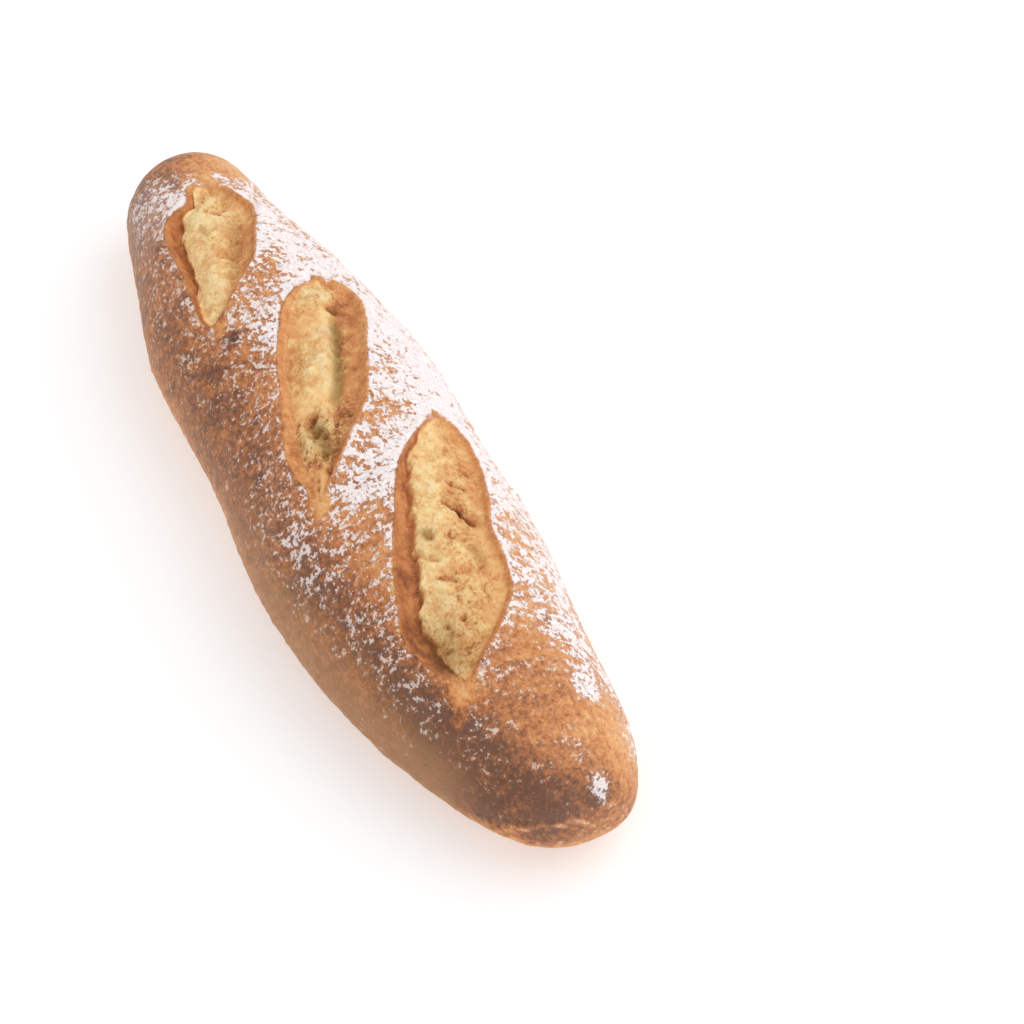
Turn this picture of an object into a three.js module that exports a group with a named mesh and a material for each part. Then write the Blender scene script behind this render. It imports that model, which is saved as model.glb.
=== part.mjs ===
// A long crusty loaf with three slanting slashes that opened in the oven. Millimetres, +Z up.
// +X runs along the loaf towards its blunter end, and the origin is on the table under its middle.
// The loaf is one solid: a sphere's grid of rings and columns is laid over a long rounded body.
// The columns wind round the body at the slant of the slashes and part round each of them, so
// that the edges of an opened slash are always edges of the grid.
import * as THREE from "three";
import { ImprovedNoise } from "three/addons/math/ImprovedNoise.js";
import { mergeVertices } from "three/addons/utils/BufferGeometryUtils.js";

// Driving dimensions of the body.
const LENGTH = 280;
const HEIGHT = 50;
const NOSE_HEIGHT = 18; // level of the two tips, which is also the widest level
const BASE_PRESS = 1.2; // how far the round underside is pressed flat by the baking stone
const BELLY = 39; // half-width at the fullest station
const CAP_POWER = 3.2; // how late the sides start to round off into the tips
const CAP_ROUND = 0.4; // how blunt the tips are
const TOP_ROUND = 2.15; // superellipse powers of the section above and below its widest level
const BASE_ROUND = 2.8;

// Half-width and sideways drift of the middle line, at stations from -1 to 1 along the length.
const HALF_WIDTHS = [[-1, 35], [-0.8, 30.5], [-0.5, 35.3], [-0.1, 38.1], [0.3, 39.8], [0.7, 35.1], [1, 33.8]];
const DRIFT = [[-1, 3], [-0.6, -1.3], [-0.2, -0.1], [0.2, -3.5], [0.6, -2.6], [1, 4.5]];

// The slashes. x is the middle, reach the half-length along X, and turn the place round the body:
// 0 on top, 0.5 at the +Y side, -0.5 at the -Y side. slant is the turn lost for each millimetre
// along X and bend a bow in that line. left and right are the millimetres from it to each edge, at
// stations of the slash from -1 to 1, before its ends round off. An opened slash has a smooth band
// along its left, band millimetres deep, up to the tear, which is how far across, from -1 to 1, the
// crumb begins. section is the height across the crumb and the right wall, and torn how rough the
// crumb is. The blade's groove runs at groove, cut deep, between two stations. lips are how high
// the edges stand, and ears how far they lean over the slash, left and right.
const SLASHES = [
  { x: -84.5, reach: 30, turn: -0.051, slant: 0.0028, bend: 0.035,
    left: [[-1, 19], [-0.45, 16.8], [0, 12.6], [0.5, 11.3], [1, 13]],
    right: [[-1, 17], [-0.6, 14.6], [-0.4, 15.8], [0, 12], [0.5, 13.2], [1, 9]],
    band: 3.4, tear: [[-1, -0.5], [-0.6, -0.6], [-0.3, -0.68], [0.2, -0.7], [0.6, -0.85], [1, -0.95]],
    section: [[-0.9, -1.7], [-0.6, -1.4], [-0.3, -1], [0.1, -1.2], [0.38, -2.6], [0.5, -2.9],
      [0.75, -2], [0.95, -0.8], [1, 0]],
    torn: 0.65, groove: 0.44, cut: 1.2, grooveEnds: [-0.45, 0.5], lips: [1.5, 1], ears: [0.5, 0.2] },
  { x: -18, reach: 39, turn: -0.012, slant: 0.0034, bend: 0,
    left: [[-1, 27], [-0.7, 17.8], [-0.35, 15], [0.2, 13.8], [0.6, 14.4], [1, 12]],
    right: [[-1, 32], [-0.85, 25], [-0.62, 18.8], [-0.25, 14.2], [0.35, 13.7], [1, 12.5]],
    band: 2, tear: [[-1, -0.75], [-0.6, -0.8], [0.2, -0.8], [0.4, -0.7], [0.7, -0.6], [1, -0.8]],
    section: [[-0.95, -1.6], [-0.7, -1.8], [-0.3, -1.3], [0.05, -1.1], [0.3, -2.6], [0.6, -2.5],
      [0.88, -1], [1, 0]],
    torn: 0.35, groove: 0.28, cut: 2.6, grooveEnds: [-0.66, 0.24], lips: [0.9, 1.4], ears: [0.2, 0.4] },
  { x: 50.5, reach: 44.5, turn: 0.05, slant: 0.0035, bend: 0,
    left: [[-1, 17], [-0.65, 20], [-0.4, 16.6], [0, 15.2], [0.25, 16.6], [0.55, 19.4], [1, 18]],
    right: [[-1, 18.5], [-0.65, 17.9], [-0.4, 16.2], [0.06, 14.4], [0.3, 18.6], [0.56, 21.2],
      [0.8, 17.5], [1, 12]],
    band: 3.4, tear: [[-1, -0.9], [-0.75, -0.78], [-0.55, -0.72], [-0.34, -0.69], [-0.1, -0.6],
      [0.11, -0.54], [0.3, -0.5], [0.42, -0.58], [0.65, -0.55], [1, -0.5]],
    section: [[-0.9, -1.5], [-0.7, -1.2], [-0.45, -0.7], [0, -0.7], [0.35, -1.2], [0.7, -1.5],
      [0.92, -0.9], [1, 0]],
    torn: 0.6, groove: 0.3, cut: 0, grooveEnds: [-1, 1], lips: [1.2, 0.9], ears: [0.3, 0.2] },
];
const TIP_POWER = 0.6; // how round the ends of a slash are
const LEFT_WALL = 4.5; // millimetres from a left edge down to the band
const LIP_WALL = 2.2; // millimetres from a lip down into the slash
const LIP_FADE = 7; // distance over which the crust outside falls from the lip
const GROOVE_SPREAD = 0.12;
const CRAG = 0.9; // depth of the torn crumb's roughness
const CRAG_LENGTH = 4.2; // size of a crag along the slash
const CRAG_ACROSS = 7.5; // strands of crumb are drawn out across the slash

// A flap of crust over the far left of the first slash.
const FLAP = { slash: 0, x: -105.2, spread: 1.6, cover: 0.58 };

// Pits and ridges torn in the crumb: x, turn, radius and rise.
const MARKS = [
  [-101, 0.017, 2.2, -1.2],
  [-67, -0.087, 2.6, 0.7],
  [-50.7, 0.1, 2.6, 0.8],
  [-5.5, -0.086, 2.6, -2.4],
  [1.5, -0.081, 2.8, -1.8],
  [7.5, -0.092, 2, -1.2],
  [41.5, 0.104, 2.2, -1.6],
  [45.5, 0.124, 2.6, -2.6],
  [34, 0.14, 2, -1.2],
  [51, 0.058, 2, -1.4],
  [48, 0.011, 2.2, -1.4],
  [55, -0.014, 2.2, -1.2],
  [64, 0.001, 2, -1],
];

// Dents, blisters and swellings of the crust: x, turn, radius and rise.
const DENTS = [
  [-47.4, -0.152, 4.6, 1.2],
  [-101, 0.205, 5, -1],
  [-120, -0.095, 4, -0.8],
  [137.7, -0.038, 3.4, -1.8],
  [112, -0.02, 7, 0.6],
  [104, 0.22, 8, 0.6],
  [20, -0.34, 8, 0.7],
  [-60, 0.28, 7, 0.5],
];

// The grid: columns round the body and rings along it, and the shares of the columns.
const COLUMNS = 72;
const RINGS = 82;
const LEAF_SHARE = 14 / COLUMNS; // for each slash
const BRIDGE_SHARE = 5 / COLUMNS; // for each bridge of crust between two slashes
const THIN_LEAF = 0.025; // turn kept between a slash's edge columns where there is no slash
const END_PACKING = 9; // how strongly the rings crowd at the tips
const BACK_EASE = 0.1; // how strongly the columns of the plain side crowd towards the slashes

const noise = new ImprovedNoise();
const HALF = LENGTH / 2;

// A smooth curve through [place, value] knots.
function through(knots, place) {
  let i = 0;
  while (i < knots.length - 2 && place > knots[i + 1][0]) i += 1;
  const slope = (a, b) => (b[1] - a[1]) / (b[0] - a[0]);
  const slopeAt = (k) => {
    if (k === 0) return slope(knots[0], knots[1]);
    if (k === knots.length - 1) return slope(knots[k - 1], knots[k]);
    const before = knots[k][0] - knots[k - 1][0];
    const after = knots[k + 1][0] - knots[k][0];
    const rise = before * slope(knots[k], knots[k + 1]) + after * slope(knots[k - 1], knots[k]);
    return rise / (before + after);
  };
  const span = knots[i + 1][0] - knots[i][0];
  const f = THREE.MathUtils.clamp((place - knots[i][0]) / span, 0, 1);
  return knots[i][1] * (2 * f ** 3 - 3 * f ** 2 + 1) + slopeAt(i) * span * (f ** 3 - 2 * f ** 2 + f)
    + knots[i + 1][1] * (3 * f ** 2 - 2 * f ** 3) + slopeAt(i + 1) * span * (f ** 3 - f ** 2);
}

const bump = (distance, spread) => Math.exp(-((distance / spread) ** 2));
const signedPower = (value, power) => Math.sign(value) * Math.abs(value) ** power;

function halfWidth(x) {
  const station = x / HALF;
  const cap = Math.max(0, 1 - Math.abs(station) ** CAP_POWER) ** CAP_ROUND;
  return cap * through(HALF_WIDTHS, station);
}

// The smooth body: the point at x along it and at a turn round it.
function bodyPoint(x, turn) {
  const station = THREE.MathUtils.clamp(x / HALF, -1, 1);
  const half = halfWidth(x);
  const rise = (HEIGHT - NOSE_HEIGHT) * (half / BELLY) ** 0.85;
  const drop = (NOSE_HEIGHT + BASE_PRESS) * Math.sqrt(1 - Math.abs(station) ** 9);
  const angle = Math.PI * (0.5 - turn);
  const side = Math.cos(angle);
  const up = Math.sin(angle);
  const level = up > 0 ? rise * up ** (2 / TOP_ROUND) : -drop * (-up) ** (2 / BASE_ROUND);
  return new THREE.Vector3(
    x,
    through(DRIFT, station) + half * signedPower(side, 2 / TOP_ROUND),
    NOSE_HEIGHT + level,
  );
}

function bodyNormal(x, turn) {
  const dx = 0.5;
  const dturn = 0.004;
  const low = Math.max(x - dx, -HALF);
  const high = Math.min(x + dx, HALF);
  const along = bodyPoint(high, turn).sub(bodyPoint(low, turn));
  const round = bodyPoint(x, turn + dturn).sub(bodyPoint(x, turn - dturn));
  return round.cross(along).negate().normalize();
}

const mmPerTurn = (x) => Math.PI * Math.max(halfWidth(x), 10);

// A small waver of an edge, in millimetres.
const uneven = (x, start) => 0.28 * Math.sin(x / 6.1 + start) + 0.14 * Math.sin(x / 2.3 + 2 * start);

// Where a slash is at x: its station from -1 to 1, the turn of its middle line, and the turns from
// that to its left and right edges.
function slashAt(slash, x) {
  const station = (x - slash.x) / slash.reach;
  const middle = slash.turn - slash.slant * (x - slash.x) - slash.bend * Math.min(station ** 2, 1.5);
  const ends = Math.max(0, 1 - station ** 2) ** TIP_POWER / mmPerTurn(x);
  let left = through(slash.left, station) + uneven(x, slash.x);
  if (slash === SLASHES[FLAP.slash]) {
    left *= 1 - FLAP.cover * THREE.MathUtils.smoothstep((FLAP.x - x) / FLAP.spread, -1, 1);
  }
  const right = through(slash.right, station) + uneven(x, 2 * slash.x);
  return { station, middle, left: ends * left, right: ends * right };
}

// The turn of a column, given as its share from 0 to 1 round the body.
function turnOf(share, x) {
  const edges = [];
  for (const slash of SLASHES) {
    const { middle, left, right } = slashAt(slash, x);
    edges.push(middle - Math.hypot(left, THIN_LEAF), middle + Math.hypot(right, THIN_LEAF));
  }
  edges.push(edges[0] + 2);
  const shares = [0];
  for (const width of [LEAF_SHARE, BRIDGE_SHARE, LEAF_SHARE, BRIDGE_SHARE, LEAF_SHARE]) {
    shares.push(shares[shares.length - 1] + width);
  }
  shares.push(1);
  let k = 0;
  while (k < shares.length - 2 && share > shares[k + 1]) k += 1;
  let f = (share - shares[k]) / (shares[k + 1] - shares[k]);
  if (k % 2 === 0 && k < 6) f = 0.5 + 0.5 * ((2 * f - 1) * 1.3 - 0.3 * (2 * f - 1) ** 3);
  if (k === shares.length - 2) f -= BACK_EASE * Math.sin(2 * Math.PI * f);
  return edges[k] + f * (edges[k + 1] - edges[k]);
}

const turnsApart = (turn, other) => turn - other - 2 * Math.round((turn - other) / 2);

function spotRise(spots, x, turn) {
  let rise = 0;
  for (const [at, where, radius, height] of spots) {
    rise += height * bump(Math.hypot(x - at, turnsApart(turn, where) * mmPerTurn(x)), radius);
  }
  return rise;
}

// The height of an opened slash's inside at a place across it, deep millimetres from its edge.
function insideHeight(slash, station, across, deep, x, number) {
  const { smoothstep } = THREE.MathUtils;
  const onCrumb = smoothstep(across - through(slash.tear, station), -0.06, 0.08);
  const inGroove = smoothstep(station, slash.grooveEnds[0] - 0.1, slash.grooveEnds[0] + 0.1)
    * (1 - smoothstep(station, slash.grooveEnds[1] - 0.1, slash.grooveEnds[1] + 0.1));
  const arc = across * slash.reach * 0.4;
  const crag = noise.noise(x / CRAG_LENGTH, arc / CRAG_ACROSS, 11.3 * number)
    + 0.5 * noise.noise(x / CRAG_LENGTH * 2.1, arc / CRAG_ACROSS * 2.1, 5 + number);
  return -slash.band * smoothstep(deep, 0, LEFT_WALL) * (1 - onCrumb)
    + through(slash.section, across) * onCrumb
    - slash.cut * bump(across - slash.groove, GROOVE_SPREAD) * inGroove
    + slash.torn * CRAG * crag * onCrumb * (1 - smoothstep(across, 0.5, 0.9));
}

// The rise and the sideways shift, in millimetres, that the slashes give to a place of the crust,
// and how far inside a slash the place is, from 0 to 1.
function slashRelief(x, turn) {
  let rise = 0;
  let shift = 0;
  let within = 0;
  SLASHES.forEach((slash, number) => {
    const { station, middle, left, right } = slashAt(slash, x);
    if (Math.abs(station) >= 1) return;
    const open = Math.min(1, 1.5 * (1 - station ** 2) ** 0.7);
    const away = turnsApart(turn, middle);
    const side = away > 0 ? 1 : 0;
    const half = side ? right : left;
    const across = away / Math.max(half, 1e-4);
    const wobble = 1 + 0.4 * noise.noise(x / 9, 3.1 + number, side ? 0.4 : 7.7);
    const lip = slash.lips[side] * open * wobble;
    const ear = slash.ears[side] * (side ? -1 : 1) * open * wobble;
    const deep = (half - Math.abs(away)) * mmPerTurn(x);
    if (deep <= 0) {
      rise += lip * bump(deep, LIP_FADE);
      shift += ear * bump(deep, LIP_FADE * 0.6);
      return;
    }
    const ledge = 1 - THREE.MathUtils.smoothstep(deep, 0, LIP_WALL);
    rise += lip * ledge + open * insideHeight(slash, station, across, deep, x, number);
    shift += ear * ledge;
    within = THREE.MathUtils.smoothstep(deep, 0.3, 2) * open;
  });
  return { rise: rise + within * spotRise(MARKS, x, turn), shift, within };
}

// Slow swells of a hand-shaped loaf, which die out at the base.
function swell(x, turn) {
  const angle = Math.PI * turn;
  return 0.3 * Math.sin(x / 17 + 0.8) * Math.cos(angle + 0.9)
    + 0.25 * Math.sin(x / 10.5 + 2.1 + 1.6 * Math.sin(angle))
    + 0.25 * Math.cos(x / 29 - 0.4) * Math.sin(2 * angle + x / 55);
}

// A point of the finished crust.
function crustPoint(x, turn) {
  const { rise, shift, within } = slashRelief(x, turn);
  const moved = turn + shift / mmPerTurn(x);
  const point = bodyPoint(x, moved);
  const free = Math.min(1, (HALF - Math.abs(x)) / 12) * THREE.MathUtils.smoothstep(point.z, 0, 12);
  const dents = spotRise(DENTS, x, turn) * (1 - within);
  point.addScaledVector(bodyNormal(x, moved), rise + (swell(x, turn) + dents) * free);
  point.z = Math.max(0, point.z);
  return point;
}

// The loaf's skin, from a sphere whose poles become the two tips.
function loafGeometry() {
  let geometry = new THREE.SphereGeometry(1, COLUMNS, RINGS);
  geometry.deleteAttribute("normal");
  geometry.deleteAttribute("uv");
  geometry = mergeVertices(geometry, 1e-6);
  const position = geometry.getAttribute("position");
  const point = new THREE.Vector3();
  for (let i = 0; i < position.count; i += 1) {
    point.fromBufferAttribute(position, i);
    const pole = 1 - (2 * Math.acos(THREE.MathUtils.clamp(point.y, -1, 1))) / Math.PI;
    const share = (Math.atan2(point.z, point.x) / (2 * Math.PI) + 1) % 1;
    const pack = 1 / (END_PACKING - 1);
    const station = pole * (1 + pack) - Math.sign(pole) * pack * Math.abs(pole) ** END_PACKING;
    const x = THREE.MathUtils.clamp(station, -1, 1) * HALF;
    point.copy(crustPoint(x, turnOf(share, x)));
    position.setXYZ(i, point.x, point.y, point.z);
  }
  geometry.computeBoundingBox();
  const middle = geometry.boundingBox.getCenter(new THREE.Vector3());
  geometry.translate(-middle.x, -middle.y, -geometry.boundingBox.min.z);
  geometry.computeVertexNormals();
  return geometry;
}

const crust = new THREE.MeshStandardMaterial({ color: 0xb97a45, roughness: 0.85, metalness: 0 });
const loaf = new THREE.Mesh(loafGeometry(), crust);
loaf.name = "loaf";

const part = new THREE.Group();
part.add(loaf);

export default part;
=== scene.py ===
import math
import random

import bmesh
import bpy
import numpy as np
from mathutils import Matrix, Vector, kdtree, noise


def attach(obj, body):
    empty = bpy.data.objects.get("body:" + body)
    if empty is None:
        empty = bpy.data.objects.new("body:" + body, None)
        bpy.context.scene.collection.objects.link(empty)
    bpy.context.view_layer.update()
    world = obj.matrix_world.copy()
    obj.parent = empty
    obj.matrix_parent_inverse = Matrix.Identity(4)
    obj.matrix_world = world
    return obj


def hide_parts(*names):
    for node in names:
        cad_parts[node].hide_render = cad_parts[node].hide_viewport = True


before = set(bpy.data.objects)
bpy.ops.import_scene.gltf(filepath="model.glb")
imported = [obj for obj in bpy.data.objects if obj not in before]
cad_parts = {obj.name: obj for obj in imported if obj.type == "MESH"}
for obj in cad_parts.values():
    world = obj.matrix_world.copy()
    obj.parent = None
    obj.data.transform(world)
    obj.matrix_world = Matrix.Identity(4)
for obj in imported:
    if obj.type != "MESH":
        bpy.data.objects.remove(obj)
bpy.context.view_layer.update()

# ---------------------------------------------------------------- the body of the loaf

# Sizes are millimetres. Knots are (station, value), and station is -1 at the far tip, 1 at the near.
LENGTH = 280.0
HALF = LENGTH / 2
HEIGHT = 50.0
NOSE_HEIGHT = 18.0  # the height at which the sides stand out furthest
BASE_PRESS = 1.2  # how much of the rounded underside is pressed flat
BELLY = 39.0  # the half-width at which the top reaches HEIGHT
BELLY_POWER = 0.85  # how closely the height follows the half-width
HEEL_POWER = 9  # how late the underside rises towards the tips
CAP_POWER, CAP_ROUND = 3.2, 0.4  # how late and how bluntly the width closes at the tips
TOP_ROUND, BASE_ROUND = 2.15, 2.8  # the section above and below the nose, where 2 is an ellipse
HALF_WIDTHS = [(-1, 35), (-0.8, 30.5), (-0.5, 35.3), (-0.1, 38.1), (0.3, 39.8), (0.7, 35.1), (1, 33.8)]
SWAY = [(-1, 3), (-0.6, -1.3), (-0.2, -0.1), (0.2, -3.5), (0.6, -2.6), (1, 4.5)]  # of the middle line
SIDE_SHIFT = 2.74  # brings the middle of the loaf's width over the origin
LEAST_HALF = 10.0  # the half-width below which a turn is no shorter, near the tips


def smooth(value, low=0.0, high=1.0):
    part = np.clip((value - low) / (high - low), 0, 1)
    return part * part * (3 - 2 * part)


def bump(distance, spread):
    return np.exp(-((distance / spread) ** 2))


def through(knots, place):
    """A smooth curve through (place, value) knots."""
    places, values = np.array(knots, float).T
    slopes = np.gradient(values, places)
    i = np.clip(np.searchsorted(places, place) - 1, 0, len(places) - 2)
    span = places[i + 1] - places[i]
    f = np.clip((place - places[i]) / span, 0, 1)
    return (values[i] * (2 * f**3 - 3 * f**2 + 1) + slopes[i] * span * (f**3 - 2 * f**2 + f)
            + values[i + 1] * (3 * f**2 - 2 * f**3) + slopes[i + 1] * span * (f**3 - f**2))


def half_width(x):
    station = x / HALF
    return np.clip(1 - np.abs(station) ** CAP_POWER, 0, 1) ** CAP_ROUND * through(HALF_WIDTHS, station)


def mm_per_turn(x):
    """Millimetres round the body for a turn of 1, which is half way round."""
    return math.pi * np.maximum(half_width(x), LEAST_HALF)


def body_point(x, turn):
    """The smooth body at x along it and a turn round it: 0 on top, 0.5 at +Y, -0.5 at -Y."""
    station = np.clip(x / HALF, -1, 1)
    half = half_width(x)
    rise = (HEIGHT - NOSE_HEIGHT) * (half / BELLY) ** BELLY_POWER
    drop = (NOSE_HEIGHT + BASE_PRESS) * np.sqrt(1 - np.abs(station) ** HEEL_POWER)
    angle = math.pi * (0.5 - turn)
    side, up = np.cos(angle), np.sin(angle)
    above = rise * np.abs(up) ** (2 / TOP_ROUND)
    below = -drop * np.abs(up) ** (2 / BASE_ROUND)
    y = through(SWAY, station) + half * np.sign(side) * np.abs(side) ** (2 / TOP_ROUND)
    return np.stack([x, y, NOSE_HEIGHT + np.where(up > 0, above, below)], -1)


def body_normal(x, turn):
    """The outward direction of the smooth body, from places just beside each one."""
    low, high = np.maximum(x - 0.5, -HALF), np.minimum(x + 0.5, HALF)
    along = body_point(high, turn) - body_point(low, turn)
    round_ = body_point(x, turn + 0.004) - body_point(x, turn - 0.004)
    normal = -np.cross(round_, along)
    return normal / np.maximum(np.linalg.norm(normal, axis=-1, keepdims=True), 1e-9)


def swell(x, turn):
    """Slow swells of a hand-shaped loaf."""
    angle = math.pi * turn
    return (0.3 * np.sin(x / 17 + 0.8) * np.cos(angle + 0.9)
            + 0.25 * np.sin(x / 10.5 + 2.1 + 1.6 * np.sin(angle))
            + 0.25 * np.cos(x / 29 - 0.4) * np.sin(2 * angle + x / 55))


# ---------------------------------------------------------------- the slashes

# x is the middle, reach the half-length, turn the place round the body, slant the turn lost for
# each millimetre and bend a bow in that line. left and right are the millimetres from it to each
# edge, as knots of station, and the ends taper them. The opened slash has a smooth band along its
# left, which falls band millimetres over a wall of so many millimetres and is as pale as band_tone.
# It ends at the tear, which is how far across the crumb begins at each station, and ragged is how
# unevenly. section is the height across the crumb and the right wall, and tones how pale it is.
# torn is how rough the crumb is at each station. The groove runs along the crumb from its first to
# its last station, and its olive is painted shade in it. lips are how high the edges stand, and ears
# how far they lean over the slash, left and right.
NO_GROOVE = dict(at=0, depth=0, first=1, last=-1, olive=0)
SLASHES = [
    dict(x=-84.5, reach=30, turn=-0.051, slant=0.0028, bend=0.035,
         left=[(-1, 19), (-0.45, 16.8), (0, 12.6), (0.5, 11.3), (1, 13)],
         right=[(-1, 17), (-0.6, 14.8), (-0.4, 15.4), (0, 12.6), (0.5, 12.6), (1, 9)],
         band=3.4, wall=2.6, band_tone=0.28,
         tear=[(-1, -0.5), (-0.6, -0.6), (-0.3, -0.68), (0.2, -0.7), (0.6, -0.85), (1, -0.95)],
         ragged=0.09,
         section=[(-0.9, -1.7), (-0.6, -1.4), (-0.3, -1.0), (0.1, -1.2), (0.38, -2.6), (0.5, -2.9),
                  (0.75, -2.0), (0.95, -0.8), (1, 0)],
         tones=[(-0.9, 0.74), (-0.6, 0.84), (-0.2, 0.86), (0.25, 0.76), (0.42, 0.62), (0.55, 0.48),
                (0.85, 0.42), (1, 0.46)],
         torn=[(-1, 0.9), (-0.6, 0.8), (-0.2, 0.55), (0.3, 0.5), (0.6, 0.6), (1, 0.3)],
         groove=dict(at=0.44, depth=1.0, first=-0.45, last=0.5, olive=0.3),
         lips=(1.5, 1.0), ears=(0.5, 0.2)),
    dict(x=-18, reach=39, turn=-0.012, slant=0.0034, bend=0,
         left=[(-1, 27), (-0.7, 17.8), (-0.35, 15), (0.2, 13.8), (0.6, 14.4), (1, 12)],
         right=[(-1, 32), (-0.85, 25), (-0.62, 18.8), (-0.25, 14.2), (0.35, 13.7), (1, 12.5)],
         band=2.0, wall=3.5, band_tone=0.42,
         tear=[(-1, -0.75), (-0.6, -0.8), (0.2, -0.8), (0.4, -0.7), (0.7, -0.6), (1, -0.8)],
         ragged=0.08,
         section=[(-0.95, -1.6), (-0.7, -1.8), (-0.3, -1.3), (0.05, -1.1), (0.3, -2.3), (0.6, -2.3),
                  (0.88, -1.0), (1, 0)],
         tones=[(-0.95, 0.4), (-0.75, 0.52), (-0.45, 0.64), (-0.1, 0.74), (0.1, 0.84), (0.25, 0.7),
                (0.38, 0.38), (0.6, 0.36), (0.85, 0.42), (1, 0.42)],
         torn=[(-1, 1), (-0.8, 0.9), (-0.7, 0.2), (0.2, 0.15), (0.32, 0.9), (0.68, 0.9), (0.8, 0.2),
               (1, 0.1)],
         groove=dict(at=0.28, depth=1.7, first=-0.6, last=0.24, olive=0.95),
         lips=(0.9, 1.4), ears=(0.2, 0.4)),
    dict(x=50.5, reach=44.5, turn=0.05, slant=0.0035, bend=0,
         left=[(-1, 17), (-0.65, 20), (-0.4, 16.6), (0, 15.2), (0.25, 16.6), (0.55, 19.4), (1, 18)],
         right=[(-1, 18.5), (-0.65, 17.9), (-0.4, 16.2), (0.06, 14.4), (0.3, 18.6), (0.56, 21.2),
                (0.8, 17.5), (1, 12)],
         band=3.4, wall=4.5, band_tone=0.22,
         tear=[(-1, -0.9), (-0.75, -0.78), (-0.55, -0.72), (-0.34, -0.69), (-0.1, -0.6), (0.11, -0.54),
               (0.3, -0.5), (0.42, -0.58), (0.65, -0.55), (1, -0.5)],
         ragged=0.1,
         section=[(-0.9, -1.5), (-0.7, -1.2), (-0.45, -0.7), (0, -0.7), (0.35, -1.2), (0.7, -1.5),
                  (0.92, -0.9), (1, 0)],
         tones=[(-0.9, 0.66), (-0.6, 0.76), (-0.35, 0.78), (0, 0.7), (0.35, 0.62), (0.7, 0.56),
                (0.92, 0.52), (1, 0.46)],
         torn=[(-1, 0.3), (-0.7, 0.4), (-0.3, 0.6), (0.3, 0.6), (0.5, 0.8), (1, 0.8)],
         groove=NO_GROOVE, lips=(1.2, 0.9), ears=(0.3, 0.2)),
]
TIP_POWER = 0.6  # how bluntly the ends of a slash taper
BOW_END = 1.5  # the square of the station past which a slash bows no further
WAVERS = [(0.28, 6.1, 1), (0.14, 2.3, 2)]  # size and length of an edge's waves, and how they start
FLAP = dict(slash=0, x=-105.2, spread=1.6, cover=0.58)  # crust over the far left of a slash


def slash_at(slash, x):
    """Station along a slash, the turn of its middle line, and the turns from that to each edge."""
    station = (x - slash["x"]) / slash["reach"]
    middle = (slash["turn"] - slash["slant"] * (x - slash["x"])
              - slash["bend"] * np.minimum(station**2, BOW_END))
    ends = np.clip(1 - station**2, 0, 1) ** TIP_POWER / mm_per_turn(x)
    left = through(slash["left"], station) + uneven(x, slash["x"])
    right = through(slash["right"], station) + uneven(x, 2 * slash["x"])
    if slash is SLASHES[FLAP["slash"]]:
        left = left * (1 - FLAP["cover"] * smooth((FLAP["x"] - x) / FLAP["spread"], -1, 1))
    return station, middle, ends * left, ends * right


def uneven(x, start):
    """A small waver of an edge, in millimetres."""
    return sum(size * np.sin(x / length + times * start) for size, length, times in WAVERS)


def across_of(slash, x, turn):
    """Station along a slash, place across it from -1 to 1, and the turns to its middle and edge."""
    station, middle, left, right = slash_at(slash, x)
    away = turn - middle
    half = np.where(away > 0, right, left)
    return station, np.clip(away / np.maximum(half, 1e-4), -40, 40), away, half


# ---------------------------------------------------------------- the grid

COLUMNS = 160
RINGS = 160
# The shares of the columns that a slash and a bridge between two slashes take. The back has the rest.
LEAF_SHARE = 20 / COLUMNS
BRIDGE_SHARE = 14 / COLUMNS
THIN_LEAF = 0.03  # the half-width, in turns, of a slash's columns where it is shut
THIN_COLUMNS = 0.045  # the half-width up to which its columns aren't made finer
LEAF_EASE = 0.3  # how much closer together the columns are at the edges of a slash
BACK_EASE = 0.06
END_PACKING = 9  # the power that sets how close together the rings are at the tips
EDGE_STEPS = 400


def turn_of(share, x):
    """The turn of a column, given as its share from 0 to 1 round the body."""
    edges = []
    for slash in SLASHES:
        _, middle, left, right = slash_at(slash, x)
        edges += [middle - np.hypot(left, THIN_LEAF), middle + np.hypot(right, THIN_LEAF)]
    edges = np.array(edges + [edges[0] + 2])
    shares = np.cumsum([0, LEAF_SHARE, BRIDGE_SHARE, LEAF_SHARE, BRIDGE_SHARE, LEAF_SHARE])
    shares = np.append(shares, 1)
    back = len(shares) - 2
    k = np.clip(np.searchsorted(shares, share, side="right") - 1, 0, back)
    f = (share - shares[k]) / (shares[k + 1] - shares[k])
    leaf = k % 2 == 0
    g = 2 * f - 1
    f = np.where(leaf, 0.5 + 0.5 * ((1 + LEAF_EASE) * g - LEAF_EASE * g**3), f)
    f = np.where(k == back, f - BACK_EASE * np.sin(2 * math.pi * f), f)
    column = np.arange(len(x))
    return edges[k, column] * (1 - f) + edges[k + 1, column] * f


def place_on_body(directions):
    """x and turn of points on the unit sphere whose poles become the two tips."""
    unit = directions / np.linalg.norm(directions, axis=1, keepdims=True)
    pole = 1 - 2 * np.arccos(np.clip(unit[:, 2], -1, 1)) / math.pi
    share = (np.arctan2(unit[:, 1], unit[:, 0]) / (2 * math.pi) + 1 + 1e-9) % 1
    pack = 1 / (END_PACKING - 1)
    station = pole * (1 + pack) - np.sign(pole) * pack * np.abs(pole) ** END_PACKING
    x = np.clip(station, -1, 1) * HALF
    turn = turn_of(share, x)
    return x, (turn + 1) % 2 - 1


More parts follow.
